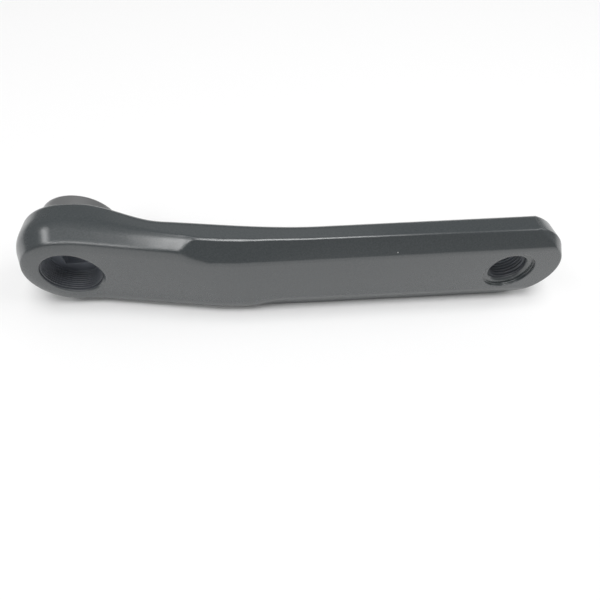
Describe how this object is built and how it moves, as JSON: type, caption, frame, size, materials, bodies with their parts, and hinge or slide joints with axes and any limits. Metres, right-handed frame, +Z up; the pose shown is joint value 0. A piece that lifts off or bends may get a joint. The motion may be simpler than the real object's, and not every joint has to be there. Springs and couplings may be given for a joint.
{
  "type": "bicycle crank arm",
  "caption": "Forged left crank arm: a bossed eye with a puller thread and tapered square spindle socket, a swept bevelled arm and a round end with a spotfaced pedal thread.",
  "frame": {"origin": "on the spindle axis in the plane of the eye's outer face", "axes": "+X from the spindle axis to the pedal axis, +Y inboard towards the frame, +Z up across the arm's width"},
  "size_m": [0.2112, 0.0395, 0.0408],
  "materials": {
    "crank_arm": "satin black coating over forged metal"
  },
  "bodies": {
    "root": {"crank_arm": "crank_arm"}
  },
  "joints": []
}
